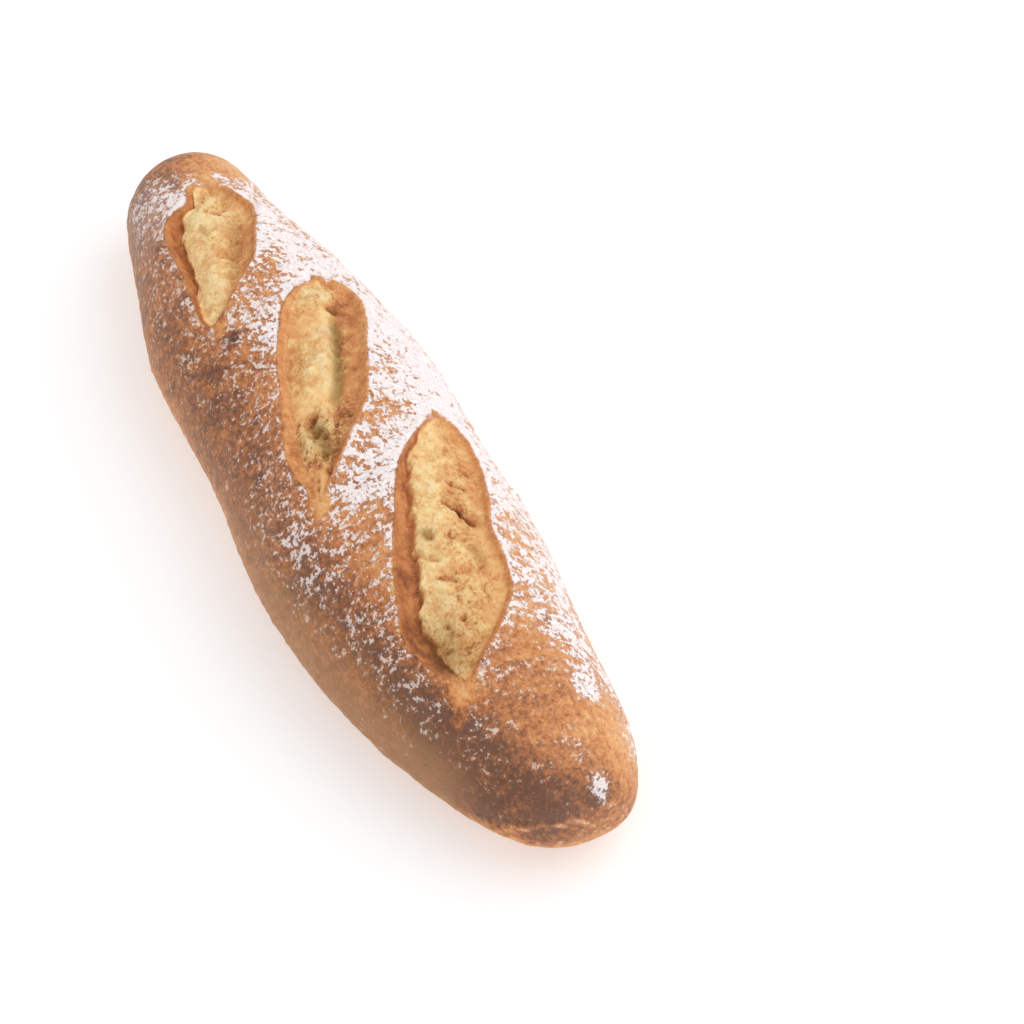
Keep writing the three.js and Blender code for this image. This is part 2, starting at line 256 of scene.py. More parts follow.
def outline_tree():
    """The edges of the slashes as points on the unrolled crust."""
    points = []
    for slash in SLASHES:
        stations = np.sin(np.linspace(-math.pi / 2, math.pi / 2, EDGE_STEPS))
        x = slash["x"] + stations * slash["reach"]
        _, middle, left, right = slash_at(slash, x)
        for line in (middle - left, middle + right):
            points += list(zip(x, line * mm_per_turn(x)))
    tree = kdtree.KDTree(len(points))
    for i, (x, y) in enumerate(points):
        tree.insert((x, y, 0), i)
    tree.balance()
    return tree


EDGES = outline_tree()


def edge_distance(x, turn):
    """Distance in millimetres to the nearest slash edge, below 0 inside a slash."""
    arc = turn * mm_per_turn(x)
    away = np.array([EDGES.find((a, b, 0))[2] for a, b in zip(x, arc)])
    inside = np.zeros(len(x), bool)
    for slash in SLASHES:
        station, across, _, _ = across_of(slash, x, turn)
        inside |= (np.abs(station) < 1) & (np.abs(across) < 1)
    return np.where(inside, -away, away)


def grain(first, second, third, layers=1):
    """Perlin noise at three coordinates, each an array or one number for all places."""
    points = np.stack(np.broadcast_arrays(first, second, third), 1)
    total = np.zeros(len(points))
    size = 1.0
    for layer in range(layers):
        rows = points * 2.03**layer + 17.3 * layer
        total += size * np.array([noise.noise(Vector(row)) for row in rows])
        size *= 0.5
    return total


# ---------------------------------------------------------------- relief

# Cracks, pits and ridges in the slashes: x and turn of both ends, half-width and rise in
# millimetres, and how much paler and more olive each is. The pits and cracks are darker as painted
# shade.
MARKS = [
    (-101.5, 0.012, -100.6, 0.022, 1.1, -1.4, -0.4, 0.0),
    (-83.0, -0.035, -79.0, -0.018, 0.8, -0.8, -0.2, 0.2),
    (-71.5, -0.070, -63.0, -0.104, 1.3, 0.7, 0.12, 0.0),
    (-108.0, 0.012, -103.0, -0.030, 1.6, 0.5, 0.1, 0.0),
    (-95.0, -0.060, -92.0, -0.050, 1.2, -0.6, -0.08, 0.35),
    (-52.5, 0.075, -49.0, 0.125, 1.8, 1.0, 0.26, 0.0),
    (-46.0, 0.108, -44.0, 0.122, 1.1, -1.4, -0.4, 0.2),
    (-7.0, -0.078, -4.0, -0.094, 1.9, -2.8, -0.5, 0.25),
    (-2.5, -0.082, 5.0, -0.080, 2.2, -2.0, -0.15, 0.7),
    (-2.0, -0.118, 5.5, -0.122, 1.4, 1.1, 0.2, 0.0),
    (6.5, -0.090, 8.5, -0.094, 1.1, -1.6, -0.4, 0.5),
    (12.6, -0.103, 14.0, -0.098, 0.9, -1.3, -0.4, 0.3),
    (14.8, -0.135, 15.0, -0.134, 0.6, -0.9, -0.35, 0.5),
    (17.4, -0.144, 17.7, -0.143, 0.6, -0.9, -0.35, 0.5),
    (-2.9, 0.001, -2.3, 0.004, 0.8, -0.8, -0.25, 0.3),
    (-6.2, 0.016, -5.8, 0.018, 0.6, -0.6, -0.2, 0.2),
    (39.3, 0.089, 43.0, 0.114, 1.2, -2.0, -0.4, 0.1),
    (43.0, 0.114, 47.7, 0.134, 1.9, -3.0, -0.45, 0.1),
    (32.1, 0.124, 36.1, 0.155, 0.9, -1.5, -0.35, 0.1),
    (37.0, 0.140, 40.0, 0.155, 1.5, 0.7, 0.12, 0.0),
    (50.4, 0.056, 51.4, 0.061, 1.1, -1.7, -0.4, 0.0),
    (47.2, 0.009, 48.8, 0.013, 1.6, -1.6, -0.3, 0.7),
    (52.8, -0.029, 57.4, 0.002, 0.9, -1.5, -0.3, 0.0),
    (62.6, -0.012, 65.3, 0.014, 0.8, -1.2, -0.35, 0.15),
    (29.0, 0.194, 30.2, 0.199, 0.9, -0.7, -0.2, 0.0),
    (57.0, 0.093, 60.5, 0.100, 2.2, -0.7, -0.08, 0.5),
    (70.0, 0.000, 79.0, -0.020, 0.8, -0.5, -0.14, 0.0),
    (67.0, -0.030, 70.0, 0.000, 0.7, -0.4, -0.10, 0.2),
    (76.0, -0.055, 81.0, -0.070, 0.8, -0.5, -0.12, 0.3),
]
# Wide shades in the slashes: x, turn, reach along and round, and how much paler and more olive.
# The one at x 60 is a painted shadow, cast by the crumb's raised edge on the band beside it.
SHADES = [
    (-93, -0.160, 6, 4, -0.06, 0), (-66, -0.120, 8, 6, 0.06, 0), (-100, 0.080, 9, 9, 0.22, 0),
    (-42, 0.150, 9, 6, -0.08, 0), (2, -0.075, 7, 7, -0.06, 0.15), (15, -0.130, 6, 6, -0.14, 0),
    (27, 0.081, 6, 5, 0.08, 0), (41, 0.066, 6, 5, 0.06, 0), (52, 0.006, 5, 5, 0.08, 0.1),
    (30, 0.180, 12, 9, -0.06, 0), (71, -0.045, 9, 6, 0.12, 0.1), (81, -0.080, 8, 6, -0.06, 0.4),
    (88, -0.105, 8, 4, -0.12, 0.45), (72, -0.150, 14, 5, -0.16, 0), (86, -0.150, 8, 4, -0.2, 0),
    (60, -0.080, 10, 2.5, -0.16, 0), (33, 0.000, 14, 5, 0.04, 0),
]
SMALL_PITS = 80  # in each slash, where the crumb is torn
PIT_SEED = 11

SLASH_REACH = 25.0  # how far past its edges a slash lifts the crust at all, in millimetres
LIP_FADE = 7.0  # how far from the edge the lip dies away outside a slash
EAR_FADE = LIP_FADE * 0.6
LEFT_LIP, RIGHT_LIP, EAR = 2.2, 3.4, 2.5  # how far into a slash the lips and ears reach
OPENING, OPENING_POWER = 1.5, 0.7  # how soon a slash is fully open, from its ends
TEAR_EDGE = (-0.03, 0.05)  # the crumb rises between these, past the tear, in half-widths of the slash
GROOVE_WIDTH, GROOVE_EASE = 0.13, 0.1  # in half-widths and in stations of the slash
FIBRE_RISE, TATTER_RISE, LUMP_RISE = 0.42, 0.4, 0.45  # of the torn crumb, in millimetres
SOFT_RISE = 0.2  # of the swells inside a slash

RIM_TONE = 0.42  # how pale the rim of a slash is
LIP_SHADE, TEAR_SHADOW, GROOVE_SHADE = 0.05, 0.16, 0.02  # painted shade just inside the lips, painted shadow under the crumb's raised edge at the tear, and painted shade in the groove
# How unevenly the far and the near end of each slash run out into the crust, in millimetres.
FRAYED_ENDS = [(2.5, 2.5), (1.5, 3.0), (1.2, 3.0)]
FRAY_REACH = 5.0
FADE_REACH = 7.0  # within this of its ends an edge fades
FADE = 0.75  # by this share of its distance
RIGHT_SOFTNESS = 0.32  # how much of the distance to a right edge counts, which makes it softer


def along_mark(x, turn, mark, rough):
    """How fully each place lies on a mark drawn from one place to another, from 0 to 1."""
    x1, turn1, x2, turn2, width = mark
    scale = mm_per_turn(x1)
    dx, dy = x2 - x1, (turn2 - turn1) * scale
    px, py = x - x1, (turn - turn1) * scale
    part = np.clip((px * dx + py * dy) / max(dx * dx + dy * dy, 1e-6), 0, 1)
    return bump(np.hypot(px - part * dx, py - part * dy) * (1 + 0.4 * rough), width)


def along_groove(cut, station, across, waver, deep):
    """How fully each place lies in the groove of a slash, from 0 to 1."""
    return (bump(across - cut["at"] - 0.04 * waver, GROOVE_WIDTH) * smooth(deep, 2, 5)
            * smooth(station, cut["first"] - GROOVE_EASE, cut["first"] + GROOVE_EASE)
            * (1 - smooth(station, cut["last"] - GROOVE_EASE, cut["last"] + GROOVE_EASE)))


def open_slash(number, x, turn, edge):
    """The places near a slash, which of them are in it, and their rise, shift and looks."""
    slash = SLASHES[number]
    cut = slash["groove"]
    scale = mm_per_turn(x)
    station, across, away, half = across_of(slash, x, turn)
    near = np.where((np.abs(station) < 1) & ((np.abs(away) - half) * scale < SLASH_REACH))[0]
    station, across, away, half = station[near], across[near], away[near], half[near]
    x, arc, scale = x[near], (turn * scale)[near], scale[near]
    right, inside = away > 0, np.abs(across) < 1
    deep = np.where(inside, np.maximum(0, -edge[near]), 0)
    beyond = np.maximum(0, (np.abs(away) - half) * scale)

    waver = grain(x / 4.5, 40 + number, 9.1, layers=3)
    wobble = 1 + 0.4 * grain(x / 9, 3.1 + number, np.where(right, 0.4, 7.7))
    tatter = grain(x / 1.8, arc / 1.8, 2.2 + number, layers=2)
    lumps = grain(x / 6, arc / 7, 5 + number, layers=2)
    fibre = grain(x / 1.9 + arc / 12, arc / 3.6, 11.3 * number, layers=3)

    opened = np.minimum(1, OPENING * (1 - station**2) ** OPENING_POWER)
    lip = np.where(right, slash["lips"][1], slash["lips"][0]) * opened * wobble
    ear = np.where(right, -slash["ears"][1], slash["ears"][0]) * opened * wobble
    tear = through(slash["tear"], station) + slash["ragged"] * waver
    crumb = smooth(across - tear + 0.035 * tatter, *TEAR_EDGE) * smooth(deep, 0.4, 1.6)
    torn = (crumb * through(slash["torn"], station) * (1 - smooth(across, 0.45, 0.85))
            * smooth(deep, 1, 3))
    groove = along_groove(cut, station, across, waver, deep)

    band_height = -slash["band"] * smooth(deep, 0, slash["wall"])
    crumb_height = through(slash["section"], across) * smooth(deep, 0, 1.5)
    sunk = (lip * (1 - smooth(deep, 0, np.where(right, RIGHT_LIP, LEFT_LIP)))
            + opened * (band_height * (1 - crumb) + crumb_height * crumb)
            + torn * opened * (FIBRE_RISE * fibre + TATTER_RISE * tatter + LUMP_RISE * lumps)
            + SOFT_RISE * lumps * smooth(deep, 1, 3)
            - cut["depth"] * groove)
    rise = np.where(inside, sunk, lip * bump(beyond, LIP_FADE))
    shift = np.where(inside, ear * (1 - smooth(deep, 0, EAR)), ear * bump(beyond, EAR_FADE))

    band_tone = slash["band_tone"] + 0.1 * smooth(deep, 0.5, 4)
    tone = band_tone * (1 - crumb) + through(slash["tones"], across) * crumb
    # Painted shade darkens the crumb just inside the lips, below its raised edge at the tear, and in the
    # groove.
    tone += ((0.1 + 0.14 * torn) * lumps + (0.12 * tatter + 0.14 * fibre) * torn
             - LIP_SHADE * (1 - smooth(deep, 0, 1.2)) * inside)
    tone -= TEAR_SHADOW * bump(across - tear + 0.06, 0.05) * np.clip(slash["band"] - 1.8, 0, 1)
    tone -= GROOVE_SHADE * groove
    return near, inside, rise, shift, dict(tone=tone, torn=torn, olive=cut["olive"] * groove)


def shape_slashes(x, turn, edge):
    """Rise and sideways shift in millimetres, and the looks of each place of a slash."""
    count = len(x)
    rise, shift = np.zeros(count), np.zeros(count)
    look = {"tone": np.full(count, RIM_TONE), "torn": np.zeros(count), "olive": np.zeros(count)}
    for number in range(len(SLASHES)):
        near, inside, lifted, shifted, looks = open_slash(number, x, turn, edge)
        rise[near] += lifted
        shift[near] += shifted
        for name, values in looks.items():
            look[name][near] = np.where(inside, values, look[name][near])
    rough = grain(x / 2.2, turn * mm_per_turn(x) / 2.2, 0, layers=2)
    mark_slashes(x, turn, edge, rough, rise, look)
    pit_slashes(x, turn, edge, rough, rise, look)
    return rise, shift, look


def mark_slashes(x, turn, edge, rough, rise, look):
    """Adds the marks and shades of the slashes to their rise and looks, with painted shade in pits
    and cracks and a painted highlight on the crumb round a pit.
    """
    scale = mm_per_turn(x)
    within = smooth(-edge, 0.3, 1.8)
    for *line, height, paler, greener in MARKS:
        hit = along_mark(x, turn, line, rough) * within
        rim = max(0, -height) * 4 * hit * (1 - hit)  # torn crumb stands up round a pit, with a painted highlight on it
        rise += height * hit + 0.14 * rim
        look["tone"] += paler * hit + 0.05 * rim
        look["olive"] += greener * hit
    for at, where, along, round_, paler, greener in SHADES:
        hit = bump(np.hypot((x - at) / along, (turn - where) * scale / round_), 1.0) * within
        look["tone"] += paler * hit
        look["olive"] += greener * hit


def pit_slashes(x, turn, edge, rough, rise, look):
    """Adds small pits to the torn crumb, darkened by painted shade in step with their depth."""
    inside = edge < 0
    scale = mm_per_turn(x)
    draw = random.Random(PIT_SEED)
    for slash in SLASHES:
        for _ in range(SMALL_PITS):
            station, across = draw.uniform(-0.85, 0.9), draw.gauss(0.0, 0.35)
            at = np.array([slash["x"] + station * slash["reach"]])
            _, middle, left, right = slash_at(slash, at)
            where = middle[0] + across * (right[0] if across > 0 else left[0])
            radius, depth = draw.uniform(0.5, 1.2), draw.uniform(0.3, 1.1)
            close = np.where((np.abs(x - at[0]) < 3) & inside)[0]
            away = np.hypot(x[close] - at[0], (turn[close] - where) * scale[close] / 1.3)
            hit = bump(away * (1 + 0.4 * rough[close]), radius) * look["torn"][close]
            rise[close] -= depth * hit
            # painted shade, darker in a deeper pit
            look["tone"][close] -= 0.3 * depth * hit


# Blisters and dents of the crust: x, turn, radius and height. More blisters are drawn at random.
DENTS = [
    (-47.4, -0.152, 4.6, 1.3), (-47.0, -0.150, 1.5, -2.4),
    (137.2, -0.035, 3.2, -3.2), (134.6, 0.06, 4.5, 1.2),
    (84.7, 0.193, 2.2, -1.1), (-120, -0.095, 4.0, -0.8), (-101, 0.205, 5.0, -1.0),
    (112, -0.02, 7.0, 0.6), (104, 0.22, 8.0, 0.6), (20, -0.34, 8.0, 0.7), (-60, 0.28, 7.0, 0.5),
    (97.5, -0.165, 3.6, -0.9), (100.5, -0.21, 3.0, -0.7),
]
# Folds and creases of the crust: x and turn of both ends, half-width and rise in millimetres, and
# how much darker and more floury each is. The sunk creases and cracks are darker as painted shade.
FOLDS = [
    (-109.0, 0.092, -92.0, 0.166, 1.4, 0.9, -0.1, 0.7),
    (-113.5, -0.008, -106.6, -0.088, 1.6, 0.8, 0.0, 0.5),
    (-106.6, -0.088, -107.0, -0.160, 1.4, 0.9, 0.0, 0.45),
    (125.0, -0.540, 131.0, -0.470, 0.9, 0.6, -0.4, 0.25),
    (131.0, -0.470, 137.0, -0.360, 0.9, 0.6, -0.4, 0.25),
    (137.0, -0.360, 139.4, -0.220, 0.8, 0.5, -0.4, 0.2),
    (127.0, -0.460, 133.0, -0.400, 0.8, -0.5, 0.2, 0.0),
    (131.5, -0.232, 138.4, -0.338, 0.8, -0.6, 0.15, 0.0),
    (128.0, -0.260, 135.5, -0.350, 0.8, -0.5, 0.15, 0.0),
    (133.0, -0.180, 139.0, -0.250, 0.8, 0.4, -0.15, 0.15),
    (-59.2, 0.150, -55.5, 0.215, 0.7, -0.6, 0.4, -0.2),
    (-55.5, 0.215, -48.0, 0.222, 0.7, -0.6, 0.35, -0.2),
    (94.0, -0.120, 103.0, -0.235, 2.3, 0.3, -0.3, -0.45),
    (20.0, -0.140, 25.0, -0.160, 2.0, 0.2, -0.25, -0.4),
    (-55.0, -0.160, -51.5, -0.170, 1.6, 0.2, -0.25, -0.4),
]
BLISTERS = 110
BLISTER_SEED = 5
WRINKLE_RISE, CREASE_RISE, CRUST_RISE = 0.2, 0.14, 0.26  # of the crust's noises, in millimetres
TWIST = 0.0473  # radians for each millimetre along X, which lays the crust's streaks slantwise
TWIST_HEIGHT = 20.0  # the height of the line that they twist round


def helix_of(x, turn):
    """Coordinates twisted along the loaf, so that noise on them streaks slantwise round it."""
    points = body_point(x, turn)
    y, z = points[:, 1] - through(SWAY, x / HALF), 1.3 * (points[:, 2] - TWIST_HEIGHT)
    twist_cos, twist_sin = np.cos(TWIST * x), np.sin(TWIST * x)
    return np.stack([1.45 * x, y * twist_cos - z * twist_sin, y * twist_sin + z * twist_cos], 1)


def shape_crust(x, turn, edge):
    """Wrinkles, blisters, dents and folds of the crust, in millimetres."""
    arc = turn * mm_per_turn(x)
    helix = helix_of(x, turn)
    wrinkles = grain(*(helix / 5.0).T, layers=2)
    creases = 1 - np.abs(grain(*(helix / 9.0 + 31).T, layers=2)) * 3
    lumps = grain(x / 6.5, arc / 6.5, turn * 20 / 6.5, layers=2)
    rise = WRINKLE_RISE * wrinkles + CREASE_RISE * np.clip(creases, 0, 1) + CRUST_RISE * lumps
    draw = random.Random(BLISTER_SEED)
    spots = list(DENTS)
    for _ in range(BLISTERS):
        spots.append((draw.uniform(-134, 134), draw.uniform(-0.7, 0.7),
                      draw.uniform(1.6, 4.5), draw.uniform(0.12, 0.45)))
    for at, where, radius, height in spots:
        away = np.hypot(x - at, (turn - where) * mm_per_turn(x))
        rise += height * bump(away, radius)
    for *line, height, _, _ in FOLDS:
        rise += height * along_mark(x, turn, line, 0.5 * wrinkles)
    return rise * smooth(edge, -0.4, 1.5)


# ---------------------------------------------------------------- flour, browning and painted shade

# Flour from the -Y side over the top to the +Y side, as knots of turn and share covered, and the
# thin film of it that veils the crust evenly.
FLOUR = [(-0.72, 0.0), (-0.58, 0.04), (-0.42, 0.31), (-0.25, 0.42), (0, 0.46), (0.15, 0.56),
         (0.3, 0.72), (0.45, 0.74), (0.58, 0.5), (0.7, 0.16), (0.82, 0.0)]
FILM = [(-0.8, 0.0), (-0.68, 0.03), (-0.56, 0.02), (-0.47, 0.02), (-0.36, 0.01), (-0.1, 0.0),
        (0.2, 0.03), (0.45, 0.16), (0.66, 0.18), (0.8, 0.0)]
# Drifts of flour: x, turn, reach along and round, and how much more or less flour lies there.
DRIFTS = [
    (-45, 0.08, 13, 0.10, 0.42), (22, 0.02, 13, 0.12, 0.34), (-118, -0.25, 14, 0.25, 0.15),
    (-136, 0.1, 8, 0.5, -0.6), (-122, 0.22, 9, 0.18, -0.5), (-113, 0.05, 5, 0.05, -0.5),
    (-116, 0.106, 3, 0.04, 0.45), (-76, 0.14, 20, 0.08, 0.3), (0, 0.24, 22, 0.12, 0.3),
    (-35, 0.24, 20, 0.08, 0.25), (60, 0.24, 18, 0.06, -0.1),
    (114, 0.02, 24, 0.2, -0.06), (124, -0.3, 26, 0.22, -0.16), (109, 0.18, 5, 0.05, 0.6),
    (-43, -0.08, 8, 0.05, 0.2),
    (122, 0.2, 16, 0.2, -0.45), (136, 0.05, 4, 0.05, 0.5), (96, -0.14, 8, 0.05, -0.35),
    (-85, 0.3, 14, 0.12, -0.05), (28, -0.25, 16, 0.1, 0.14), (-30, -0.32, 30, 0.12, -0.1),
    (90, 0.1, 12, 0.06, -0.2), (23, -0.165, 4, 0.03, -0.3), (104, -0.2, 8, 0.06, 0.16),
    (86, 0.24, 10, 0.08, 0.12), (134.9, 0.064, 3.4, 0.06, 0.32),
    (125, 0.05, 6, 0.07, 0.25), (-112, -0.07, 6, 0.06, 0.3),
    (-62, 0.45, 22, 0.08, -0.28), (32, 0.48, 26, 0.07, -0.25), (84, 0.40, 20, 0.06, -0.22),
    (72, -0.43, 55, 0.08, -0.18), (-98, 0.52, 16, 0.1, -0.25), (6, 0.40, 12, 0.05, -0.22),
    (-24, 0.54, 14, 0.08, 0.2),
    (62, 0.55, 12, 0.08, 0.18), (110, 0.5, 14, 0.12, -0.2),
]
# Wider veils of flour: x, turn, reach along and round, and amount.
HAZES = [(-116, -0.28, 16, 0.25, 0.15), (118, 0.0, 26, 0.25, 0.03),
         (-20, -0.56, 50, 0.1, 0.1)]
# How golden the smooth crust low down on the -Y side is, as knots of turn, and what share of that
# the far end has. This paler foot is partly less-baked crust and partly painted light bounced from
# the table.
LOW_GOLD = [(-0.86, 0.0), (-0.72, 0.5), (-0.58, 0.85), (-0.46, 0.9), (-0.4, 0.75), (-0.34, 0.35),
            (-0.27, 0.06), (-0.2, 0.0), (0, 0.0)]
FAR_GOLD = 0.25
GOLD_START, GOLD_END = (-30, 40), (104, 124)  # it grows and fades along the loaf over these x
# Paler and darker places of the crust: x, turn, reach along and round, and how much darker.
BAKES = [
    (118, -0.28, 30, 0.26, 0.38), (112, -0.32, 16, 0.1, 0.14), (122, -0.38, 12, 0.09, 0.24),
    (-126, 0.24, 12, 0.2, -0.25),
    (-113, 0.045, 5, 0.06, -0.4), (96, -0.14, 8, 0.05, -0.25), (130, 0.15, 16, 0.2, -0.16),
    (23, -0.165, 4, 0.03, -0.3), (137.2, -0.035, 3, 0.05, 0.6), (-119.9, -0.095, 4, 0.05, 0.3),
    (84.7, 0.193, 3, 0.03, 0.3), (-47, -0.150, 2.5, 0.03, 0.5), (-40, -0.2, 30, 0.1, 0.08),
    (60, -0.26, 36, 0.08, 0.14), (136, -0.2, 8, 0.16, 0.12), (92, -0.54, 50, 0.1, 0.3),
    (70, -0.42, 40, 0.07, -0.12), (139, 0.12, 6, 0.1, 0.3), (132, 0.1, 9, 0.2, 0.12),
    (-132, -0.02, 8, 0.25, 0.16),
]
# The side term darkens the -Y side, partly as browner crust and partly as painted shade away from the
# key light.
TOP_BAKE, SIDE_BAKE_AND_SHADE, FLOURED_BAKE, FOOT_BAKE = 0.42, 0.32, -0.2, 0.22
UNDER_BAKE_AND_BOUNCE = -0.3  # paler crust that faces down, next to the table: partly less baked, partly painted light bounced from the table
LIP_FLOUR = 0.2  # more flour along the lips of the slashes
TIP_STRETCH = (122, 139)  # where looks that follow the turn even out, as the turns meet there
TIP_POINT = (136.5, 140)  # where patches even out
TIP_FLOUR, TIP_FILM, TIP_BAKE = 0.3, 0.05, 0.6


def patchy(places, x, turn):
    """The sum of soft patches given as x, turn, reach along and round, and amount."""
    return sum(amount * bump(np.hypot((x - at) / along, (turn - where) / round_), 1.0)
               for at, where, along, round_, amount in places)


def floured(x, turn, normal, edge):
    """How much flour lies in specks, and how thick the film is."""
    tip = smooth(np.abs(x), *TIP_STRETCH)
    dust = through(FLOUR, turn) * (1 - tip) + TIP_FLOUR * tip
    dust += patchy(DRIFTS, x, turn) * (1 - smooth(np.abs(x), *TIP_POINT))
    dust += LIP_FLOUR * bump(edge, 2.6) * smooth(turn, -0.3, 0.1)
    dust += sum(flourier * along_mark(x, turn, line, 0) for *line, _, _, flourier in FOLDS)
    film = through(FILM, turn) + patchy(HAZES, x, turn)
    film += (TIP_FILM - film) * tip
    facing_up = smooth(normal[:, 2], -0.85, 0.1)
    return np.clip(dust, 0, 1) * facing_up, np.clip(film, 0, 1) * facing_up


def browning_and_shade(x, turn, normal):
    """How hard the crust baked, from 0 to 1: most on the -Y side, and least where flour lay thick.
    It holds painted shade too, on the -Y side and in sunk creases, and it is lower where the
    crust faces down, partly as painted light bounced from the table.
    """
    bake = TOP_BAKE + SIDE_BAKE_AND_SHADE * smooth(-turn, 0.08, 0.3) * (1 - 0.8 * smooth(-turn, 0.44, 0.58))
    bake += FOOT_BAKE * smooth(turn, 0.5, 0.72) + FLOURED_BAKE * smooth(turn, 0.0, 0.35)
    bake += (TIP_BAKE - bake) * smooth(np.abs(x), *TIP_STRETCH)
    bake += patchy(BAKES, x, turn) * (1 - smooth(np.abs(x), *TIP_POINT))
    bake += sum(darker * along_mark(x, turn, line, 0) for *line, _, darker, _ in FOLDS)
    bake += UNDER_BAKE_AND_BOUNCE * smooth(-normal[:, 2], -0.3, 0.4)
    return np.clip(bake, 0, 1)


def golden_and_bounce(x, turn):
    """How golden the crust is low down on the -Y side, from 0 to 1, partly as painted bounce light."""
    gold = through(LOW_GOLD, turn) * (FAR_GOLD + (1 - FAR_GOLD) * smooth(x, *GOLD_START))
    gold *= 1 - smooth(x, *GOLD_END)
    gold *= 1 - smooth(np.abs(x), *TIP_STRETCH)
    return np.clip(gold, 0, 1)


def frayed(x, turn, edge):
    """Edge distances for the looks, so that a slash runs out unevenly and softly into the crust."""
    spread, fade = np.zeros(len(x)), np.zeros(len(x))
    right = np.zeros(len(x), bool)
    for slash, amounts in zip(SLASHES, FRAYED_ENDS):
        station, across, _, _ = across_of(slash, x, turn)
        right |= (np.abs(station) < 1) & (across > 0.2) & (across < 1)
        for end, amount in zip((-1, 1), amounts):
            at = slash["x"] + end * slash["reach"]
            middle = slash_at(slash, np.array([at]))[1][0]
            away = np.hypot(x - at, (turn - middle) * mm_per_turn(x))
            spread = np.maximum(spread, amount * bump(away, FRAY_REACH))
            fade = np.maximum(fade, FADE * bump(away, FADE_REACH))
    ragged = grain(x / 3.2, turn * mm_per_turn(x) / 3.2, 8.8, layers=3)
    return np.where(right, RIGHT_SOFTNESS, 1) * edge * (1 - fade) + spread * (ragged - 0.1)


# ---------------------------------------------------------------- the mesh

SEEN_TURN = 0.66  # the crust up to this turn, either way, gets the finer grid
FINEST_REACH = 2.2  # and within this many millimetres of a slash the finest
# The crust's relief starts over this many millimetres, so the tips and the base stay true.
TIP_CALM, BASE_CALM = 12.0, 12.0


def roomy(x, turn):
    """False in the thin columns that run on past the ends of the slashes."""
    thin = np.zeros(len(x), bool)
    for slash in SLASHES:
        _, _, away, half = across_of(slash, x, turn)
        kept = np.hypot(half, THIN_LEAF)
        thin |= (np.abs(away) < kept) & (kept < THIN_COLUMNS)
    return ~thin


def seen(x, turn):
    """True on the top and the sides, outside the thin columns."""
    return (np.abs(turn) < SEEN_TURN) & roomy(x, turn)


def near_slash(x, turn):
    """True in the slashes and close round them."""
    return edge_distance(x, turn) < FINEST_REACH


def sphere_grid():
    """A sphere that stands for the loaf, finer on the crust that shows and finest in the slashes."""
    bm = bmesh.new()
    bmesh.ops.create_uvsphere(bm, u_segments=COLUMNS, v_segments=RINGS, radius=1)
    for wanted in (seen, near_slash):
        faces = list(bm.faces)
        centres = np.array([tuple(face.calc_center_median()) for face in faces])
        fine = wanted(*place_on_body(centres))
        chosen = {edge for face, keep in zip(faces, fine) if keep for edge in face.edges}
        bmesh.ops.subdivide_edges(bm, edges=list(chosen), cuts=1, use_grid_fill=True)
    mesh = bpy.data.meshes.new("loaf_crust")
    bm.to_mesh(mesh)
    bm.free()
    return mesh


def loaf_mesh():
    mesh = sphere_grid()
    rows = np.empty(len(mesh.vertices) * 3)
    mesh.vertices.foreach_get("co", rows)
    x, turn = place_on_body(rows.reshape(-1, 3))
    edge = edge_distance(x, turn)
    rise, shift, look = shape_slashes(x, turn, edge)
    crust = shape_crust(x, turn, edge)
    moved = turn + shift / mm_per_turn(x)
    points = body_point(x, moved)
    normal = body_normal(x, moved)
    free = np.minimum(1, (HALF - np.abs(x)) / TIP_CALM) * smooth(points[:, 2], 0, BASE_CALM)
    points += normal * (rise + (swell(x, turn) + crust) * free)[:, None]
    points[:, 2] = np.maximum(points[:, 2], 0)
    points[:, 1] += SIDE_SHIFT
    mesh.vertices.foreach_set("co", (points / 1000).ravel())

    dust, film = floured(x, turn, normal, edge)
    edge = frayed(x, turn, edge)
    look["olive"] = np.where(edge > 0, golden_and_bounce(x, turn), look["olive"])
    fields = dict(look, edge=edge, dust=dust, film=film, bake=browning_and_shade(x, turn, normal))
    for name, values in fields.items():
        mesh.attributes.new(name, "FLOAT", "POINT").data.foreach_set("value", values.astype(np.float32))
    helix = mesh.attributes.new("helix", "FLOAT_VECTOR", "POINT")
    helix.data.foreach_set("vector", (helix_of(x, turn) / 1000).astype(np.float32).ravel())
    mesh.polygons.foreach_set("use_smooth", np.ones(len(mesh.polygons), bool))
    mesh.update()
    return mesh


# ---------------------------------------------------------------- finishes

def tint(red, green, blue):
    """A colour as it looks on a screen, 0 to 255, as the linear colour that shaders use."""
    return tuple((c / 255 / 12.92) if c <= 10 else ((c / 255 + 0.055) / 1.055) ** 2.4
                 for c in (red, green, blue)) + (1.0,)


class Field:
    """A number that varies over a surface. Sums on it add Math nodes."""

    def __init__(self, finish, socket):
        self.finish, self.socket = finish, socket

    def sum(self, operation, *others):
        return self.finish.field("Math", dict(operation=operation), dict(enumerate((self,) + others)))

    def __add__(self, other):
        return self.sum("ADD", other)

    def __sub__(self, other):
        return self.sum("SUBTRACT", other)

    def __rsub__(self, other):
        return (self * -1) + other

    def __mul__(self, other):
        return self.sum("MULTIPLY", other)

    __radd__, __rmul__ = __add__, __mul__

    def clamped(self):
        return self.finish.field("Clamp", {}, {"Value": self})

    def between(self, low, high):
        """0 up to low, 1 from high, and smooth between them."""
        return self.finish.field("MapRange", dict(interpolation_type="SMOOTHSTEP"),
                                 {"Value": self, "From Min": low, "From Max": high})


